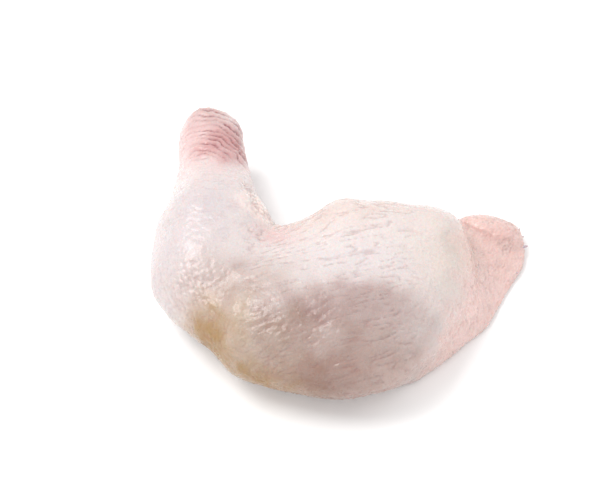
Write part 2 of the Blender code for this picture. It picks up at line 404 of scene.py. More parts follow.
# %% [markdown]
# ## Deep creases
#
# A few creases are single and deep: where the loose skin folds under the hip, and some
# short ones above the knee. Each is a path through space, and the vertices near it move
# in along their normals. A sculpting brush would do the same by hand, but a path can be
# read and changed later. The meat in the sawn end becomes uneven in the same step.

# %% Press the deep creases in
# Each crease: depth, half width and the places that it runs through, in metres.
SEAMS = (
    (0.0009, 0.0013,
     ((0.0505, 0.0235, 0.0100), (0.0530, 0.0205, 0.0110), (0.0582, 0.0160, 0.0118))),
    (0.0007, 0.0013,
     ((0.0582, 0.0160, 0.0118), (0.0627, 0.0140, 0.0115))),
    (0.0004, 0.0017,
     ((0.0627, 0.0140, 0.0115), (0.0682, 0.0133, 0.0104), (0.0726, 0.0160, 0.0098))),
    (0.0006, 0.0009,
     ((-0.0425, -0.0232, 0.0370), (-0.0385, -0.0214, 0.0373), (-0.0340, -0.0203, 0.0375))),
    (0.0005, 0.0007,
     ((-0.0300, -0.0105, 0.0345), (-0.0265, -0.0110, 0.0350), (-0.0225, -0.0095, 0.0355))),
    (0.0003, 0.0006,
     ((-0.0385, -0.0200, 0.0372), (-0.0300, -0.0165, 0.0375), (-0.0200, -0.0140, 0.0380))),
)
DEEPEST_SEAM = SEAMS[0][0]
MEAT_UNEVENNESS = 0.00030
MEAT_GRAIN = 0.0034

normals = np.empty(len(places) * 3, dtype=np.float32)
skin.data.vertex_normals.foreach_get("vector", normals)
normals = normals.reshape(-1, 3)
seam = np.zeros(len(places))
drop = np.zeros(len(places))
for depth, half_width, path in SEAMS:
    closeness = near_path(places, path, half_width)
    seam = np.maximum(seam, closeness * depth / DEEPEST_SEAM)
    drop = np.maximum(drop, closeness * depth)
drop += MEAT_UNEVENNESS * cut * waves(places, MEAT_GRAIN, 22)
lowered = places - drop[:, None] * normals
skin.data.vertices.foreach_set("co", lowered.astype(np.float32).ravel())
store(skin.data, "seam", seam)
print(len(SEAMS), "creases, the deepest", DEEPEST_SEAM * 1000, "mm")

# %% [markdown]
# ## The colours under the skin
#
# Raw skin is nearly white, but what lies under it shines through: a bluish vein under the calf,
# yellow fat at the knee and cream fat at the hip. Blood gathers in the folds of the hock. The
# thigh turns darker mauve towards its lower side. Some colours are painted shade, on the near,
# lower flank and the calf's left edge, and some are painted light, paler than white, on places
# that lie in shade. Each colour is written as it should look in the picture, and a helper takes
# the brightness of the lamps out of it.

# %% Name the colours
# The lamps make a place that faces them this much brighter than its own colour.
TOP_LIGHT = 1.45


def seen(red, green, blue):
    """The skin colour that looks like this where it faces the lamps.

    A value above 255 is for a place that lies in shade and has to make up for it.
    """
    return tuple(value / TOP_LIGHT for value in srgb(red, green, blue))


PALE = seen(250, 239, 236)
LILAC = seen(228, 216, 218)
SHEEN = seen(244, 234, 234)
WARM = seen(246, 225, 217)
CREAM = seen(244, 228, 217)
FAT = seen(174, 133, 50)
BELLY = seen(201, 178, 168)
LOW_MAUVE = seen(188, 161, 156)
# Painted shade for the near, lower flank, which faces away from the main lamp.
SHADE_ROSE = seen(156, 120, 104)
TAN = seen(204, 180, 152)
# The loose skin's own pink, given paler than white: partly painted light where the hip shades
# it.
FLAP_PINK = seen(258, 223, 215)
BLUSH = seen(243, 204, 202)
FOLDED = seen(222, 180, 178)
PURPLE = seen(160, 130, 124)
DEEP_PINK = seen(250, 211, 203)
BLOOD = seen(214, 140, 140)
RED_MEAT = seen(158, 34, 36)
JOINT_PINK = seen(178, 108, 88)
FAT_LINE = seen(236, 206, 176)
GREY = seen(212, 200, 188)
# Painted light, paler than white, for the shaded rim.
RIM_LIT = seen(282, 263, 254)
DULL = seen(178, 154, 136)
# Painted light, paler than white, for the shaded side and foot of the hip.
LIT_PINK = seen(272, 234, 228)
FOOT_CREAM_LIT = seen(262, 238, 226)
HIP_BLUSH_LIT = seen(262, 230, 218)
TIP = seen(206, 172, 168)
BOUNCED = seen(222, 188, 178)
print("pale skin has the linear colour", [round(value, 2) for value in PALE])

# %% [markdown]
# ## Patches of colour
#
# Each patch is a soft blob with one of the colours, and a blob that comes later lies over
# the earlier ones, like washes of thin paint. A random drift bends their edges, so none
# looks round. The result is stored as a colour on the vertices, because a place on the
# meat is easier to name in space than on an unwrapped picture.

# %% Lay the patches over each other
# Each patch: colour, strength, centre and reach, in metres.
PATCHES = (
    (LILAC, 0.90, (-0.056, 0.006, 0.038), (0.022, 0.026, 0.030)),
    (SHEEN, 0.85, (0.002, -0.021, 0.042), (0.038, 0.012, 0.016)),
    (WARM, 0.85, (-0.010, 0.004, 0.034), (0.018, 0.009, 0.016)),
    (WARM, 0.60, (0.012, 0.010, 0.032), (0.026, 0.008, 0.016)),
    (CREAM, 0.80, (0.042, -0.015, 0.030), (0.014, 0.020, 0.020)),
    (GREY, 0.35, (0.045, -0.006, 0.028), (0.006, 0.005, 0.010)),
    # Darker mauve and pink towards the lower side of the thigh.
    (BELLY, 0.85, (-0.036, -0.032, 0.036), (0.018, 0.013, 0.016)),
    (LOW_MAUVE, 0.90, (-0.010, -0.046, 0.036), (0.024, 0.010, 0.018)),
    (LOW_MAUVE, 0.88, (0.010, -0.040, 0.036), (0.020, 0.009, 0.018)),
    (PURPLE, 0.62, (-0.018, -0.047, 0.038), (0.012, 0.005, 0.012)),
    # Painted shade: these rose patches darken the near, lower flank.
    (SHADE_ROSE, 1.00, (-0.006, -0.066, 0.022), (0.034, 0.018, 0.022)),
    (SHADE_ROSE, 0.36, (0.022, -0.060, 0.020), (0.016, 0.014, 0.018)),
    (SHADE_ROSE, 0.45, (0.008, -0.056, 0.034), (0.014, 0.007, 0.010)),
    (LOW_MAUVE, 0.35, (0.026, -0.044, 0.026), (0.012, 0.016, 0.020)),
    (LOW_MAUVE, 0.35, (-0.046, -0.030, 0.034), (0.008, 0.010, 0.014)),
    (FAT, 0.95, (-0.054, -0.046, 0.022), (0.013, 0.013, 0.019)),
    # Partly painted shade: more of the fat's darker yellow low on the knee's edge.
    (FAT, 0.70, (-0.050, -0.052, 0.022), (0.010, 0.011, 0.016)),
    (FAT, 0.95, (-0.036, -0.066, 0.014), (0.018, 0.012, 0.015)),
    (TAN, 0.80, (-0.041, -0.049, 0.034), (0.005, 0.010, 0.010)),
    (DULL, 0.90, (-0.026, -0.053, 0.034), (0.011, 0.009, 0.012)),
    (BELLY, 0.50, (-0.055, -0.024, 0.036), (0.012, 0.008, 0.012)),
    # Painted shade over a lit spot low on the thigh.
    (SHADE_ROSE, 0.38, (-0.0200, -0.0520, 0.0340), (0.009, 0.006, 0.010)),
    (BOUNCED, 0.40, (0.018, -0.064, 0.020), (0.015, 0.009, 0.012)),
    (BLUSH, 0.75, (-0.027, -0.003, 0.032), (0.009, 0.007, 0.010)),
    # Painted light: paler than white, this lifts the shaded inner side of the crook along the
    # rim.
    (RIM_LIT, 1.00, (-0.0330, 0.0125, 0.0320), (0.008, 0.010, 0.010)),
    # Painted light: paler than white, these lift the shaded right side and foot of the hip.
    (LIT_PINK, 0.85, (0.056, -0.012, 0.012), (0.007, 0.022, 0.010)),
    (FOOT_CREAM_LIT, 0.80, (0.0530, 0.0050, 0.0140), (0.006, 0.014, 0.010)),
    (HIP_BLUSH_LIT, 0.70, (0.0505, 0.0020, 0.0220), (0.006, 0.018, 0.010)),
    # Painted shade on the calf's left edge.
    (LILAC, 0.80, (-0.074, -0.014, 0.024), (0.010, 0.022, 0.016)),
    (LILAC, 0.40, (-0.064, -0.011, 0.036), (0.012, 0.014, 0.016)),
    (DEEP_PINK, 0.80, (0.067, 0.012, 0.008), (0.012, 0.012, 0.012)),
    (BLUSH, 0.90, (-0.054, 0.045, 0.022), (0.024, 0.016, 0.030)),
    (FOLDED, 0.85, (-0.049, 0.053, 0.030), (0.010, 0.012, 0.012)),
    (BLUSH, 0.65, (-0.056, 0.062, 0.022), (0.024, 0.010, 0.030)),
    (BLUSH, 0.80, (-0.064, 0.054, 0.028), (0.009, 0.013, 0.014)),
    (TIP, 0.60, (-0.0565, 0.0640, 0.0320), (0.008, 0.006, 0.010)),
    (BLOOD, 0.60, (-0.0475, 0.0385, 0.0330), (0.004, 0.004, 0.007)),
    (BLOOD, 0.50, (-0.0560, 0.0430, 0.0330), (0.005, 0.005, 0.008)),
    (BLOOD, 0.40, (-0.0440, 0.0500, 0.0280), (0.005, 0.009, 0.008)),
    (BLOOD, 0.40, (-0.0500, 0.0490, 0.0330), (0.007, 0.009, 0.008)),
)


def mixed(colours, colour, share):
    return colours + (np.array(colour) - colours) * share[:, None]


DRIFT = 0.0020
DRIFT_SIZE = 0.011
LOBULE_SIZE = 0.0045
STREAK_SIZE = 0.006
SEAM_OF_FAT = (0.0098, 0.0112)
ENDS_AT_LOOSE_SKIN = (CREAM, LOW_MAUVE, GREY)

tint = np.tile(np.array(PALE), (len(places), 1))
# The loose skin's pink, partly painted light for the hip's shade.
tint = mixed(tint, FLAP_PINK, 0.90 * skirt)
drift = np.stack([DRIFT * waves(places, DRIFT_SIZE, seed) for seed in (11, 12, 13)], axis=1)
# Fat lies in small lobules, which mottle its yellow a little.
lobules = np.clip(0.96 + 0.08 * waves(places, LOBULE_SIZE, 31), 0.6, 1.1)
for colour, strength, centre, reach in PATCHES:
    share = strength * blob(places + drift, centre, reach)
    if colour in ENDS_AT_LOOSE_SKIN:
        share *= 1 - skirt
    if colour == FAT:
        share *= lobules
    tint = mixed(tint, colour, share)
# The meat in the sawn end is red on one side and paler towards the other.
streak = np.clip(0.4 + 0.4 * waves(places, STREAK_SIZE, 21) + 40 * (x - CUT_PLACE.x), 0, 1)
tint = mixed(tint, RED_MEAT, cut)
tint = mixed(tint, JOINT_PINK, cut * streak)
tint = mixed(tint, FAT_LINE, 0.8 * cut * smooth_step(off_axis, *SEAM_OF_FAT))
tint_layer = skin.data.attributes.new("tint", "FLOAT_COLOR", "POINT")
opaque = np.hstack([tint, np.ones((len(tint), 1))])
tint_layer.data.foreach_set("color", opaque.astype(np.float32).ravel())
print(len(PATCHES), "patches of colour")

# %% [markdown]
# ## Small helpers for node trees
#
# The fine relief and the materials are both trees of nodes. Built by hand they take many
# clicks, and in Python many equal lines. These helpers add a node, feed its inputs in
# order and give back its output, so that the steps below read like short formulas.

# %% Write the helpers for node trees
def new_tree(name, kind, inputs, outputs):
    """A node tree with named inputs and outputs, each with its kind and its default, if any."""
    tree = bpy.data.node_groups.new(name, kind)
    for way, sockets in (("INPUT", inputs), ("OUTPUT", outputs)):
        for label, held, *default in sockets:
            socket = tree.interface.new_socket(name=label, in_out=way,
                                               socket_type="NodeSocket" + held)
            if default:
                socket.default_value = default[0]
    return tree


def add_node(tree, kind, **settings):
    node = tree.nodes.new(kind)
    for name, value in settings.items():
        setattr(node, name, value)
    return node


def feed(tree, socket, source):
    """Links another node's output to an input, or sets that input to a constant."""
    if isinstance(source, bpy.types.NodeSocket):
        tree.links.new(source, socket)
    else:
        socket.default_value = source


def wire(tree, node, *sources):
    """Feeds a node's inputs in order and gives back its first output."""
    for socket, source in zip(node.inputs, sources):
        feed(tree, socket, source)
    return node.outputs[0]


def math_node(tree, operation, *sources):
    return wire(tree, add_node(tree, "ShaderNodeMath", operation=operation), *sources)


def vector_node(tree, operation, *sources):
    node = add_node(tree, "ShaderNodeVectorMath", operation=operation)
    if operation == "SCALE":
        tree.links.new(sources[0], node.inputs[0])
        tree.links.new(sources[1], node.inputs["Scale"])
        return node.outputs[0]
    wire(tree, node, *sources)
    return node.outputs["Value" if operation == "DOT_PRODUCT" else "Vector"]


def smooth_range(tree, value, start, end, first=0.0, last=1.0):
    node = add_node(tree, "ShaderNodeMapRange", interpolation_type="SMOOTHSTEP")
    return wire(tree, node, value, start, end, first, last)


def noise(tree, place, **values):
    """A cloudy random pattern, as numbers round 0.5."""
    node = add_node(tree, "ShaderNodeTexNoise")
    tree.links.new(place, node.inputs["Vector"])
    set_inputs(node, **values)
    return node.outputs[0]


def finish_tree(tree, geometry, look):
    """Makes instances real, gives everything its material and ends the tree."""
    realize = add_node(tree, "GeometryNodeRealizeInstances")
    tree.links.new(geometry, realize.inputs[0])
    finish = add_node(tree, "GeometryNodeSetMaterial")
    finish.inputs["Material"].default_value = look
    tree.links.new(realize.outputs[0], finish.inputs["Geometry"])
    tree.links.new(finish.outputs[0], add_node(tree, "NodeGroupOutput").inputs[0])


def use_tree(obj, tree, **values):
    """Puts a node tree on an object, sets its inputs by their identifiers and applies it."""
    modifier = obj.modifiers.new(tree.name, "NODES")
    modifier.node_group = tree
    for item in tree.interface.items_tree:
        wanted = values.get(item.name.replace(" ", "_")) if item.in_out == "INPUT" else None
        if wanted is not None:
            modifier[item.identifier] = wanted
    apply_modifiers(obj)


print("each step of a node tree is one line now")

# %% [markdown]
# ## Wrinkles and pebbles
#
# Wrinkles are long and narrow, so a noise pattern that is stretched along them gives them
# at once. Each place is split into the part along the wrinkle and the rest, and each is
# divided by its own length. Where the noise passes its middle value the skin has a long
# valley, and Crease says how wide it is. A second, slower noise lets the valleys fade in
# and out, as real wrinkles do. The cells of a stretched Voronoi pattern give short bulging
# pebbles instead, as on the knee.

# %% Build the groups for wrinkles and pebbles
PATCHES_PER_METRE = 170.0
# The valleys fade where the slower noise falls below this range.
FADED = (0.36, 0.54)
FADED_DEPTH = 0.32


def stretched_place(tree, along, length, width):
    """A vertex's place, measured in lengths along a direction and in widths across it."""
    place = add_node(tree, "GeometryNodeInputPosition").outputs[0]
    unit = vector_node(tree, "NORMALIZE", along)
    run = vector_node(tree, "SCALE", unit, vector_node(tree, "DOT_PRODUCT", place, unit))
    rest = vector_node(tree, "SUBTRACT", place, run)
    long_part = vector_node(tree, "SCALE", run, math_node(tree, "DIVIDE", 1.0, length))
    wide_part = vector_node(tree, "SCALE", rest, math_node(tree, "DIVIDE", 1.0, width))
    return vector_node(tree, "ADD", long_part, wide_part)


def relief_group(name):
    """Wrinkles follow the middle value of a noise, and pebbles fill Voronoi cells."""
    tree = new_tree(name, "GeometryNodeTree",
                    (("Along", "Vector"), ("Length", "Float", 0.02), ("Width", "Float", 0.002),
                     ("Crease", "Float", 0.13)), (("Height", "Float"),))
    along, length, width, crease = add_node(tree, "NodeGroupInput").outputs[:4]
    place = stretched_place(tree, along, length, width)
    if name == "wrinkles":
        pattern = noise(tree, place, Scale=1.0, Detail=0.8, Roughness=0.5)
        value = math_node(tree, "ABSOLUTE", math_node(tree, "SUBTRACT", pattern, 0.5))
        valley = smooth_range(tree, value, 0.0, crease, 1.0, 0.0)
        spot = add_node(tree, "GeometryNodeInputPosition").outputs[0]
        patches = noise(tree, spot, Scale=PATCHES_PER_METRE, Detail=1.0)
        depth = smooth_range(tree, patches, *FADED, FADED_DEPTH, 1.0)
        height = math_node(tree, "SUBTRACT", 1.0, math_node(tree, "MULTIPLY", valley, depth))
    else:
        cells = add_node(tree, "ShaderNodeTexVoronoi", feature="DISTANCE_TO_EDGE")
        tree.links.new(place, cells.inputs["Vector"])
        set_inputs(cells, Scale=1.0, Randomness=0.9)
        height = smooth_range(tree, cells.outputs[0], 0.0, crease)
    tree.links.new(height, add_node(tree, "NodeGroupOutput").inputs[0])
    return tree


GROUPS = {name: relief_group(name) for name in ("wrinkles", "pebbles")}
print("the relief groups are", list(GROUPS))

# %% [markdown]
# ## Folds of the hock and layers of relief
#
# Near the cut end the skin is too long for the shank and is pushed together into rounded
# folds. They run in arcs round one point, so the distance from that point, sent through a
# sine, gives them. Everywhere else the relief is a sum of layers: a zone, a pattern and a
# direction each. A table of layers can be tuned line by line while looking at the render.

# %% Describe the folds and the layers
# Each layer: zone, kind, direction, length, width and height in metres, and the crease.
LAYERS = (
    ("thigh", "wrinkles", (1.0, 0.26, 0.08), 0.0240, 0.0032, 0.00052, 0.070),
    ("thigh", "pebbles", (1.0, 0.30, 0.10), 0.0032, 0.0014, 0.00010, 0.32),
    ("hip", "pebbles", (0.3, -1.0, -0.6), 0.0026, 0.0014, 0.00010, 0.32),
    ("lower", "pebbles", (1.0, 0.50, 0.62), 0.0036, 0.0015, 0.00028, 0.32),
    ("lower", "wrinkles", (1.0, 0.30, 0.40), 0.0140, 0.0026, 0.00036, 0.09),
    ("knee", "pebbles", (0.75, -0.55, -0.30), 0.0032, 0.0018, 0.00024, 0.32),
    ("fat", "pebbles", (0.6, -0.6, -0.5), 0.0030, 0.0015, 0.00032, 0.32),
    ("fat", "wrinkles", (0.5, 0.6, 0.6), 0.0090, 0.0024, 0.00056, 0.10),
    ("knee", "wrinkles", (0.30, -0.85, -0.40), 0.0056, 0.0018, 0.00044, 0.13),
    ("calf", "wrinkles", (1.0, -0.12, 0.0), 0.0110, 0.0026, 0.00028, 0.09),
    ("rim", "pebbles", (1.0, -0.4, 0.2), 0.0030, 0.0026, 0.00070, 0.32),
    ("flap", "pebbles", (0.45, 1.0, 0.1), 0.0018, 0.0011, 0.00022, 0.32),
    ("flap", "wrinkles", (0.30, 0.90, 0.35), 0.0090, 0.0018, 0.00034, 0.11),
)
FOLD_CENTRE = (-0.0610, 0.0260, 0.0330)
FOLD_SPACING = 0.0031
FOLD_HEIGHT = 0.00120
FOLD_WAVER = 2.4
FOLD_ROUNDNESS = 0.7
FOLD_FLATTENING = (1.0, 1.0, 0.4)
WAVERS_PER_METRE = 130.0
# The folds are full on top of the hock and faint on its underside.
HOCK_HEIGHTS = (0.016, 0.029)
HOCK_UNDERSIDE = 0.15
LEVEL_OF_REST = 0.6
DEEPEST = 0.00080


def named_value(tree, name):
    node = add_node(tree, "GeometryNodeInputNamedAttribute", data_type="FLOAT")
    node.inputs["Name"].default_value = name
    return node.outputs["Attribute"]


def keep_value(tree, geometry, name, value):
    node = add_node(tree, "GeometryNodeStoreNamedAttribute", data_type="FLOAT", domain="POINT")
    node.inputs["Name"].default_value = name
    tree.links.new(geometry, node.inputs["Geometry"])
    tree.links.new(value, node.inputs["Value"])
    return node.outputs["Geometry"]


def hock_folds(tree):
    """Rounded folds in arcs round one point, and how much a place is on top of the hock."""
    place = add_node(tree, "GeometryNodeInputPosition").outputs[0]
    offset = vector_node(tree, "SUBTRACT", place, FOLD_CENTRE)
    flattened = vector_node(tree, "MULTIPLY", offset, FOLD_FLATTENING)
    away = add_node(tree, "ShaderNodeVectorMath", operation="LENGTH")
    tree.links.new(flattened, away.inputs[0])
    parts = add_node(tree, "ShaderNodeSeparateXYZ")
    tree.links.new(place, parts.inputs[0])
    on_top = smooth_range(tree, parts.outputs["Z"], *HOCK_HEIGHTS, HOCK_UNDERSIDE, 1.0)

    waver = noise(tree, place, Scale=WAVERS_PER_METRE, Detail=2.5)
    wavering = math_node(tree, "MULTIPLY", waver, on_top)
    drift = math_node(tree, "MULTIPLY", wavering, FOLD_WAVER)
    turns = math_node(tree, "DIVIDE", away.outputs["Value"], FOLD_SPACING)
    half_turns = math_node(tree, "MULTIPLY", math_node(tree, "ADD", turns, drift), math.pi)
    wave = math_node(tree, "ABSOLUTE", math_node(tree, "SINE", half_turns))
    return math_node(tree, "POWER", wave, FOLD_ROUNDNESS), on_top


def add_layer(tree, pattern, zone, height, crease, total):
    """Adds a zone's pattern to the relief so far, and its valleys to the creases so far."""
    share = named_value(tree, zone)
    raised = math_node(tree, "SUBTRACT", pattern, LEVEL_OF_REST)
    lift = math_node(tree, "MULTIPLY", raised, height)
    total = math_node(tree, "ADD", total, math_node(tree, "MULTIPLY", lift, share))
    depth = math_node(tree, "POWER", math_node(tree, "SUBTRACT", 1.0, pattern), 2.0)
    in_zone = math_node(tree, "MULTIPLY", depth, share)
    dip = math_node(tree, "MULTIPLY", in_zone, height / DEEPEST)
    crease = dip if crease is None else math_node(tree, "ADD", crease, dip)
    return crease, total


print(len(LAYERS), "layers of relief in", len({layer[0] for layer in LAYERS}), "zones")

# %% [markdown]
# ## Goose bumps and the whole relief
#
# A feather once stood in each goose bump, so the bumps keep their distance from each other.
# Distribute Points on Faces with a least distance gives just that. Each vertex then rises by how
# near it is to the closest point, and keeps that nearness, because the colour shows a dark pore
# there, partly the pore itself and partly painted shade of the bump. The tree adds bumps, folds
# and layers, and moves each vertex along its normal once.

# %% Build the relief tree and use it on the skin
BUMP_SPACING = 0.0021
BUMP_RADIUS = 0.0010
BUMP_HEIGHT = 0.00022
# The number of points tried on each square metre, before the spacing thins them out.
MOST_BUMPS = 300000.0


def relief_tree(look):
    tree = new_tree("skin relief", "GeometryNodeTree",
                    (("Geometry", "Geometry"), ("Bump spacing", "Float", BUMP_SPACING),
                     ("Bump radius", "Float", BUMP_RADIUS),
                     ("Bump height", "Float", BUMP_HEIGHT)), (("Geometry", "Geometry"),))
    geometry, spacing, radius, bump_height = add_node(tree, "NodeGroupInput").outputs[:4]

    points = add_node(tree, "GeometryNodeDistributePointsOnFaces", distribute_method="POISSON")
    tree.links.new(geometry, points.inputs["Mesh"])
    tree.links.new(spacing, points.inputs["Distance Min"])
    set_inputs(points, Density_Max=MOST_BUMPS, Seed=7)
    near = add_node(tree, "GeometryNodeProximity", target_element="POINTS")
    tree.links.new(points.outputs["Points"], near.inputs[0])
    pore = smooth_range(tree, near.outputs["Distance"], 0.0, radius, 1.0, 0.0)

    total = math_node(tree, "MULTIPLY", pore, bump_height)
    folds, on_top = hock_folds(tree)
    fold, total = add_layer(tree, folds, "hock", FOLD_HEIGHT, None, total)
    fold = math_node(tree, "MULTIPLY", fold, on_top)
    crease = None
    for zone, kind, along, length, width, height, edge in LAYERS:
        group = add_node(tree, "GeometryNodeGroup", node_tree=GROUPS[kind])
        set_inputs(group, Along=along, Length=length, Width=width, Crease=edge)
        crease, total = add_layer(tree, group.outputs[0], zone, height, crease, total)

    upward = math_node(tree, "SUBTRACT", 1.0, named_value(tree, "cut"))
    moved = vector_node(tree, "SCALE", add_node(tree, "GeometryNodeInputNormal").outputs[0],
                        math_node(tree, "MULTIPLY", total, upward))
    stored = geometry
    for name, value in (("pore", pore), ("crease", crease), ("fold", fold)):
        stored = keep_value(tree, stored, name, value)
    shift = add_node(tree, "GeometryNodeSetPosition")
    tree.links.new(stored, shift.inputs["Geometry"])
    tree.links.new(moved, shift.inputs["Offset"])
    finish_tree(tree, shift.outputs[0], look)
    return tree


skin_look, skin_shader = new_material("raw chicken skin")
use_tree(skin, relief_tree(skin_look), Bump_spacing=BUMP_SPACING, Bump_radius=BUMP_RADIUS,
         Bump_height=BUMP_HEIGHT)
places = vertex_array(skin.data, "co", 3)
# The leg lies on the table, so no relief may reach below it.
places[:, 2] = np.maximum(places[:, 2], 0)
skin.data.vertices.foreach_set("co", places.astype(np.float32).ravel())
skin.data.update()
skin.data.shade_smooth()
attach(skin, "root")
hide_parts("leg_quarter")
print("the skin has", 2 * len(skin.data.polygons), "triangles")

# %% [markdown]
# ## Looks of wet skin
#
# Skin and bone are both damp and uneven at a scale that is too small for the mesh. One
# shader group makes this damp surface for both. It gives a mask of cloudy spots, a
# roughness that wanders between two values, and a normal with fine grain.

# %% Build the group for a damp surface
CLOUDS_PER_METRE = 110.0
DROPS_PER_METRE = 420.0


def damp_group():
    tree = new_tree("damp surface", "ShaderNodeTree",
                    (("Grain size", "Float", 0.0008), ("Grain height", "Float", 0.0001),
                     ("Wet roughness", "Float", 0.25), ("Dry roughness", "Float", 0.5)),
                    (("Clouds", "Float"), ("Roughness", "Float"), ("Normal", "Vector")))
    grain, height, wet, dry = add_node(tree, "NodeGroupInput").outputs[:4]
    place = add_node(tree, "ShaderNodeTexCoord").outputs["Object"]

    clouds = noise(tree, place, Scale=CLOUDS_PER_METRE, Detail=4.0, Roughness=0.6)
    spread = smooth_range(tree, clouds, 0.35, 0.65)
    drops = noise(tree, place, Scale=DROPS_PER_METRE, Detail=2.0, Roughness=0.5)
    shine = smooth_range(tree, drops, 0.40, 0.62, dry, wet)

    cells = add_node(tree, "ShaderNodeTexVoronoi", feature="SMOOTH_F1")
    tree.links.new(place, cells.inputs["Vector"])
    tree.links.new(math_node(tree, "DIVIDE", 1.0, grain), cells.inputs["Scale"])
    bump = add_node(tree, "ShaderNodeBump", invert=True)
    tree.links.new(height, bump.inputs["Distance"])
    tree.links.new(cells.outputs["Distance"], bump.inputs["Height"])

    out = add_node(tree, "NodeGroupOutput")
    tree.links.new(spread, out.inputs["Clouds"])
    tree.links.new(shine, out.inputs["Roughness"])
    tree.links.new(bump.outputs[0], out.inputs["Normal"])
    return tree


DAMP = damp_group()
print("the damp surface has", len(DAMP.nodes), "nodes")

# %% [markdown]
# ## The skin's material
#
# The colour starts from the patches on the vertices. Creases turn pinker with blood and painted
# shade, each pore is a small grey dot, partly the pore and partly painted shade of its goose
# bump, and cloudy spots keep broad areas from looking painted. Subsurface light gives the soft,
# waxy look.

# %% Wire the skin's material
def mix_colour(tree, share, first, second):
    node = add_node(tree, "ShaderNodeMix", data_type="RGBA")
    sockets = {socket.identifier: socket for socket in node.inputs}
    for name, source in (("Factor_Float", share), ("A_Color", first), ("B_Color", second)):
        feed(tree, sockets[name], source)
    return next(item for item in node.outputs if item.identifier == "Result_Color")


def attribute(tree, name, output="Fac"):
    return add_node(tree, "ShaderNodeAttribute", attribute_name=name).outputs[output]


def damp_surface(tree, **values):
    group = add_node(tree, "ShaderNodeGroup", node_tree=DAMP)
    set_inputs(group, **values)
    return group


def wet_finish(tree, shader, damp, colour):
    """Wires a colour and the damp surface's roughness and grain into a shader."""
    tree.links.new(colour, shader.inputs["Base Color"])
    tree.links.new(damp.outputs["Roughness"], shader.inputs["Roughness"])
    tree.links.new(damp.outputs["Normal"], shader.inputs["Normal"])


# Pink and red for creases and the hock's folds: blood and painted shade.
CREASE_PINK = (*srgb(156, 108, 106), 1)
FOLD_RED = (*srgb(144, 82, 86), 1)
PORE_GREY = (*srgb(150, 130, 128), 1)
CLOUD_WHITE = (*seen(250, 240, 236), 1)
CLOUD_SHARE = 0.10
PORE_CORE = 0.58
PORE_SHARE = 0.34
# Painted shade and blood in the skin's low places: the stored value, how strongly, and its
# colour.
HOLLOW_SHADE_AND_BLOOD = (("crease", 0.42, CREASE_PINK), ("seam", 0.20, CREASE_PINK), ("fold", 0.92, FOLD_RED))

tree = skin_look.node_tree
damp = damp_surface(tree, Grain_size=0.0009, Grain_height=0.00017, Wet_roughness=0.26,
                    Dry_roughness=0.46)
cloudy = math_node(tree, "MULTIPLY", damp.outputs["Clouds"], CLOUD_SHARE)
colour = mix_colour(tree, cloudy, attribute(tree, "tint", "Color"), CLOUD_WHITE)
for name, strength, hollow_tint in HOLLOW_SHADE_AND_BLOOD:
    share = math_node(tree, "MULTIPLY", attribute(tree, name), strength)
    colour = mix_colour(tree, share, colour, hollow_tint)
# Each pore is a grey dot: partly the pore itself, partly painted shade of its goose bump.
pore = smooth_range(tree, attribute(tree, "pore"), PORE_CORE, 1.0, 0.0, PORE_SHARE)
colour = mix_colour(tree, pore, colour, PORE_GREY)
wet_finish(tree, skin_shader, damp, colour)
set_inputs(skin_shader, Subsurface_Weight=0.35, Subsurface_Radius=(1.0, 0.38, 0.26),
           Subsurface_Scale=0.0022, Coat_Weight=0.35, Coat_Roughness=0.16, IOR=1.42)
print("the skin's material has", len(tree.nodes), "nodes")

# %% [markdown]
# ## The knuckle in the sawn end
#
# The end of the shank shows the joint: two round knuckles of gristle with a groove
# between them, pearly and very wet. Its main form comes from the workshop's bone. A copy
# is rounded with two levels of Subdivision Surface, and its colour fades from ivory bone
# to the blue-pink gristle at the end.

# %% Round the knuckle and give it its look
IVORY = (*srgb(214, 186, 160), 1)
PEARL = (*srgb(233, 217, 216), 1)
BRUISE = (*srgb(190, 118, 116), 1)
BRUISE_SHARE = 0.45
GRISTLE_SPAN = (-0.0050, -0.0022)

knuckle = welded_copy(BONE, "shank_knuckle")
add_rounding(knuckle)
apply_modifiers(knuckle)
places = vertex_array(knuckle.data, "co", 3)
height = (places - np.array(CUT_PLACE)) @ np.array(CUT_FACING)
store(knuckle.data, "gristle", smooth_step(height, *GRISTLE_SPAN))
gristle_look, gristle_shader = new_material("gristle and bone")
knuckle.data.materials.append(gristle_look)
knuckle.data.shade_smooth()

tree = gristle_look.node_tree
damp = damp_surface(tree, Grain_size=0.0016, Grain_height=0.00006, Wet_roughness=0.12,
                    Dry_roughness=0.28)
colour = mix_colour(tree, attribute(tree, "gristle"), IVORY, PEARL)
bruised = math_node(tree, "MULTIPLY", damp.outputs["Clouds"], BRUISE_SHARE)
wet_finish(tree, gristle_shader, damp, mix_colour(tree, bruised, colour, BRUISE))
set_inputs(gristle_shader, Subsurface_Weight=0.30, Subsurface_Radius=(1.0, 0.5, 0.4),
           Subsurface_Scale=0.002, Coat_Weight=0.5, Coat_Roughness=0.10)
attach(knuckle, "root")
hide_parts("shank_bone")
print("the knuckle has", len(knuckle.data.polygons), "faces")

# %% [markdown]
# ## Sinew and fat in the sawn end
#
# Round the knuckle the saw has also cut the sinews, which stand a little proud as white
# oval stubs, and a thin seam of yellow fat under the skin. Both repeat round the bone at
# uneven distances, so Geometry Nodes set them on a circle: one small bead is scaled, turned
# and placed for each point.

# %% Set the stubs and the fat round the knuckle
SINEW_DEPTH = RECESS_DEPTH - 0.0002
FAT_DEPTH = RECESS_DEPTH - 0.0006
SPOT_SHARE = 0.6
ROUGHER_WHEN_DRY = 0.15


def bead_mesh(name, half):
    """A small rounded bead: a cube that Subdivision Surface turns into an egg."""
    mesh = bpy.data.meshes.new(name)
    bm = bmesh.new()
    bmesh.ops.create_cube(bm, size=2.0)
    for vertex in bm.verts:
        vertex.co = Vector(vertex.co[i] * half[i] for i in range(3))
    bm.to_mesh(mesh)
    bm.free()
    obj = linked(name, mesh)
    add_rounding(obj)
    apply_modifiers(obj)
    return obj


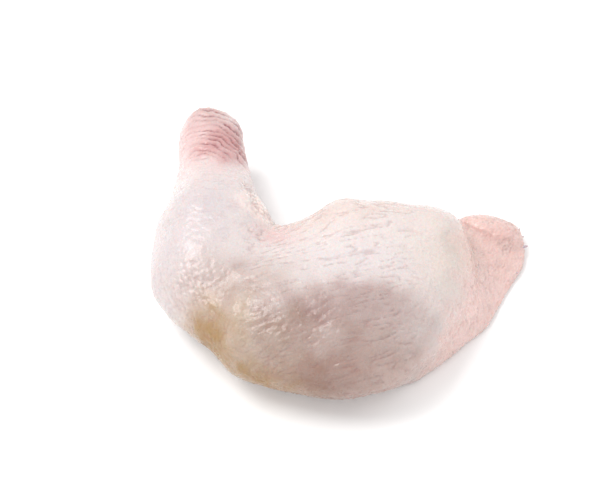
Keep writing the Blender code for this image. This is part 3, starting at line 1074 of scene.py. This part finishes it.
def ring_tree(name, bead, look):
    """Beads on a flat circle, each pushed and scaled by chance and turned with the circle."""
    tree = new_tree(name, "GeometryNodeTree",
                    (("Geometry", "Geometry"), ("Radius", "Float", 0.0095), ("Count", "Int", 9),
                     ("Jitter", "Float", 0.001), ("Smallest", "Float", 0.6),
                     ("Largest", "Float", 1.2), ("Seed", "Int", 1)),
                    (("Geometry", "Geometry"),))
    given = add_node(tree, "NodeGroupInput").outputs[:7]
    _, radius, count, jitter, smallest, largest, seed = given

    circle = add_node(tree, "GeometryNodeCurvePrimitiveCircle", mode="RADIUS")
    tree.links.new(radius, circle.inputs["Radius"])
    points = add_node(tree, "GeometryNodeCurveToPoints", mode="COUNT")
    tree.links.new(circle.outputs["Curve"], points.inputs["Curve"])
    tree.links.new(count, points.inputs["Count"])

    push = add_node(tree, "FunctionNodeRandomValue", data_type="FLOAT_VECTOR")
    set_inputs(push, Min=(-1, -1, -0.2), Max=(1, 1, 0.2))
    tree.links.new(seed, push.inputs["Seed"])
    shift = add_node(tree, "GeometryNodeSetPosition")
    tree.links.new(points.outputs["Points"], shift.inputs["Geometry"])
    pushed = vector_node(tree, "SCALE", push.outputs["Value"], jitter)
    tree.links.new(pushed, shift.inputs["Offset"])

    size = add_node(tree, "FunctionNodeRandomValue", data_type="FLOAT")
    bounds = [socket for socket in size.inputs if socket.type == "VALUE" and socket.enabled]
    tree.links.new(smallest, bounds[0])
    tree.links.new(largest, bounds[1])
    tree.links.new(seed, size.inputs["Seed"])
    place = add_node(tree, "GeometryNodeInstanceOnPoints")
    tree.links.new(shift.outputs[0], place.inputs["Points"])
    tree.links.new(points.outputs["Rotation"], place.inputs["Rotation"])
    model = add_node(tree, "GeometryNodeObjectInfo")
    model.inputs["Object"].default_value = bead
    tree.links.new(model.outputs["Geometry"], place.inputs["Instance"])
    tree.links.new(next(item for item in size.outputs if item.enabled), place.inputs["Scale"])

    finish_tree(tree, place.outputs[0], look)
    return tree


def tissue_look(name, colour, spot, roughness):
    """Wet tissue with spots of another colour."""
    made, shader = new_material(name)
    tree = made.node_tree
    damp = damp_surface(tree, Grain_size=0.0009, Grain_height=0.00008, Wet_roughness=roughness,
                        Dry_roughness=roughness + ROUGHER_WHEN_DRY)
    spotted = math_node(tree, "MULTIPLY", damp.outputs["Clouds"], SPOT_SHARE)
    wet_finish(tree, shader, damp, mix_colour(tree, spotted, (*colour, 1), (*spot, 1)))
    set_inputs(shader, Subsurface_Weight=0.3, Subsurface_Radius=(1.0, 0.5, 0.35),
               Subsurface_Scale=0.0015, Coat_Weight=0.4, Coat_Roughness=0.12)
    return made


def laid_in_cut(obj, depth):
    """Turns a ring that was made flat into the plane of the cut, a little below its rim."""
    turn = CUT_FACING.to_track_quat("Z", "Y").to_matrix().to_4x4()
    obj.data.transform(Matrix.Translation(CUT_PLACE - CUT_FACING * depth) @ turn)
    obj.data.update()


def ring_of(name, bead_half, look, depth, **values):
    """A ring of beads in the cut, as one piece of the leg."""
    bead = bead_mesh(name + "_bead", bead_half)
    ring = linked(name, bpy.data.meshes.new(name))
    use_tree(ring, ring_tree(name, bead, look), **values)
    bpy.data.objects.remove(bead)
    laid_in_cut(ring, depth)
    ring.data.shade_smooth()
    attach(ring, "root")
    return ring


sinew_look = tissue_look("cut sinew", srgb(232, 216, 206), srgb(206, 158, 150), 0.22)
fat_look = tissue_look("cream fat", srgb(236, 208, 170), srgb(222, 168, 146), 0.30)
sinews = ring_of("sinew_stubs", (0.0010, 0.0018, 0.0015), sinew_look, SINEW_DEPTH,
                 Radius=0.0090, Count=6, Jitter=0.0010, Smallest=0.50, Largest=1.10, Seed=9)
fat = ring_of("fat_seam", (0.0007, 0.0016, 0.0013), fat_look, FAT_DEPTH,
              Radius=0.0110, Count=44, Jitter=0.0003, Smallest=0.5, Largest=1.1, Seed=2)
print("stubs and fat have", len(sinews.data.polygons), "and", len(fat.data.polygons), "faces")

# %% [markdown]
# ## Pin feathers
#
# Plucking always leaves a few quill stubs. They are hollow, grey-lilac and about 1.5 mm
# long, and here they stand at the free edge of the loose skin. Each is a lathed profile,
# tapered and slightly bent, with its root in the skin.

# %% Set a few quill stubs at the edge of the loose skin
# Each stub: a place near its root, the way it points, its length and how thick it is.
QUILLS = (
    ((0.0770, 0.0148, 0.0040), (1.0, 0.0, 0.30), 0.0018, 1.5),
    ((0.0752, 0.0236, 0.0045), (0.8, 0.5, 0.35), 0.0013, 1.2),
    ((0.0765, 0.0195, 0.0045), (0.9, 0.3, 0.35), 0.0008, 1.3),
    ((0.0735, 0.0020, 0.0026), (1.0, -0.4, 0.20), 0.0009, 1.0),
    ((0.0560, 0.0330, 0.0052), (-0.1, 1.0, 0.40), 0.0010, 1.0),
)
QUILL_PROFILE = ((0.0, 0.00042), (0.45, 0.00038), (0.8, 0.00028), (1.0, 0.00010))
QUILL_SIDES = 10
ROOT_DEPTH = 0.0012
QUILL_BEND = 0.0002


def quill(bm, place, way, length, thickness):
    """A bent, tapered stub that starts below the skin's closest point to a place."""
    _, root, _, _ = skin.closest_point_on_mesh(place)
    way = Vector(way).normalized()
    side = way.orthogonal().normalized()
    rings = []
    for share, radius in QUILL_PROFILE:
        middle = root + way * (share * (length + ROOT_DEPTH) - ROOT_DEPTH)
        middle += side * QUILL_BEND * share**2
        ring = []
        for step in range(QUILL_SIDES):
            turn = Matrix.Rotation(2 * math.pi * step / QUILL_SIDES, 3, way)
            ring.append(bm.verts.new(middle + turn @ side * radius * thickness))
        rings.append(ring)
    for low, high in zip(rings, rings[1:]):
        for step in range(QUILL_SIDES):
            after = (step + 1) % QUILL_SIDES
            bm.faces.new((low[step], low[after], high[after], high[step]))
    bm.faces.new(rings[0][::-1])
    bm.faces.new(rings[-1])


bm = bmesh.new()
for stub in QUILLS:
    quill(bm, *stub)
bmesh.ops.recalc_face_normals(bm, faces=bm.faces)
quills = linked("pin_feathers", bpy.data.meshes.new("pin_feathers"))
bm.to_mesh(quills.data)
bm.free()
quill_look = tissue_look("feather quill", srgb(196, 182, 190), srgb(150, 132, 142), 0.3)
quills.data.materials.append(quill_look)
quills.data.shade_smooth()
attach(quills, "root")
print("quill stubs:", len(QUILLS))
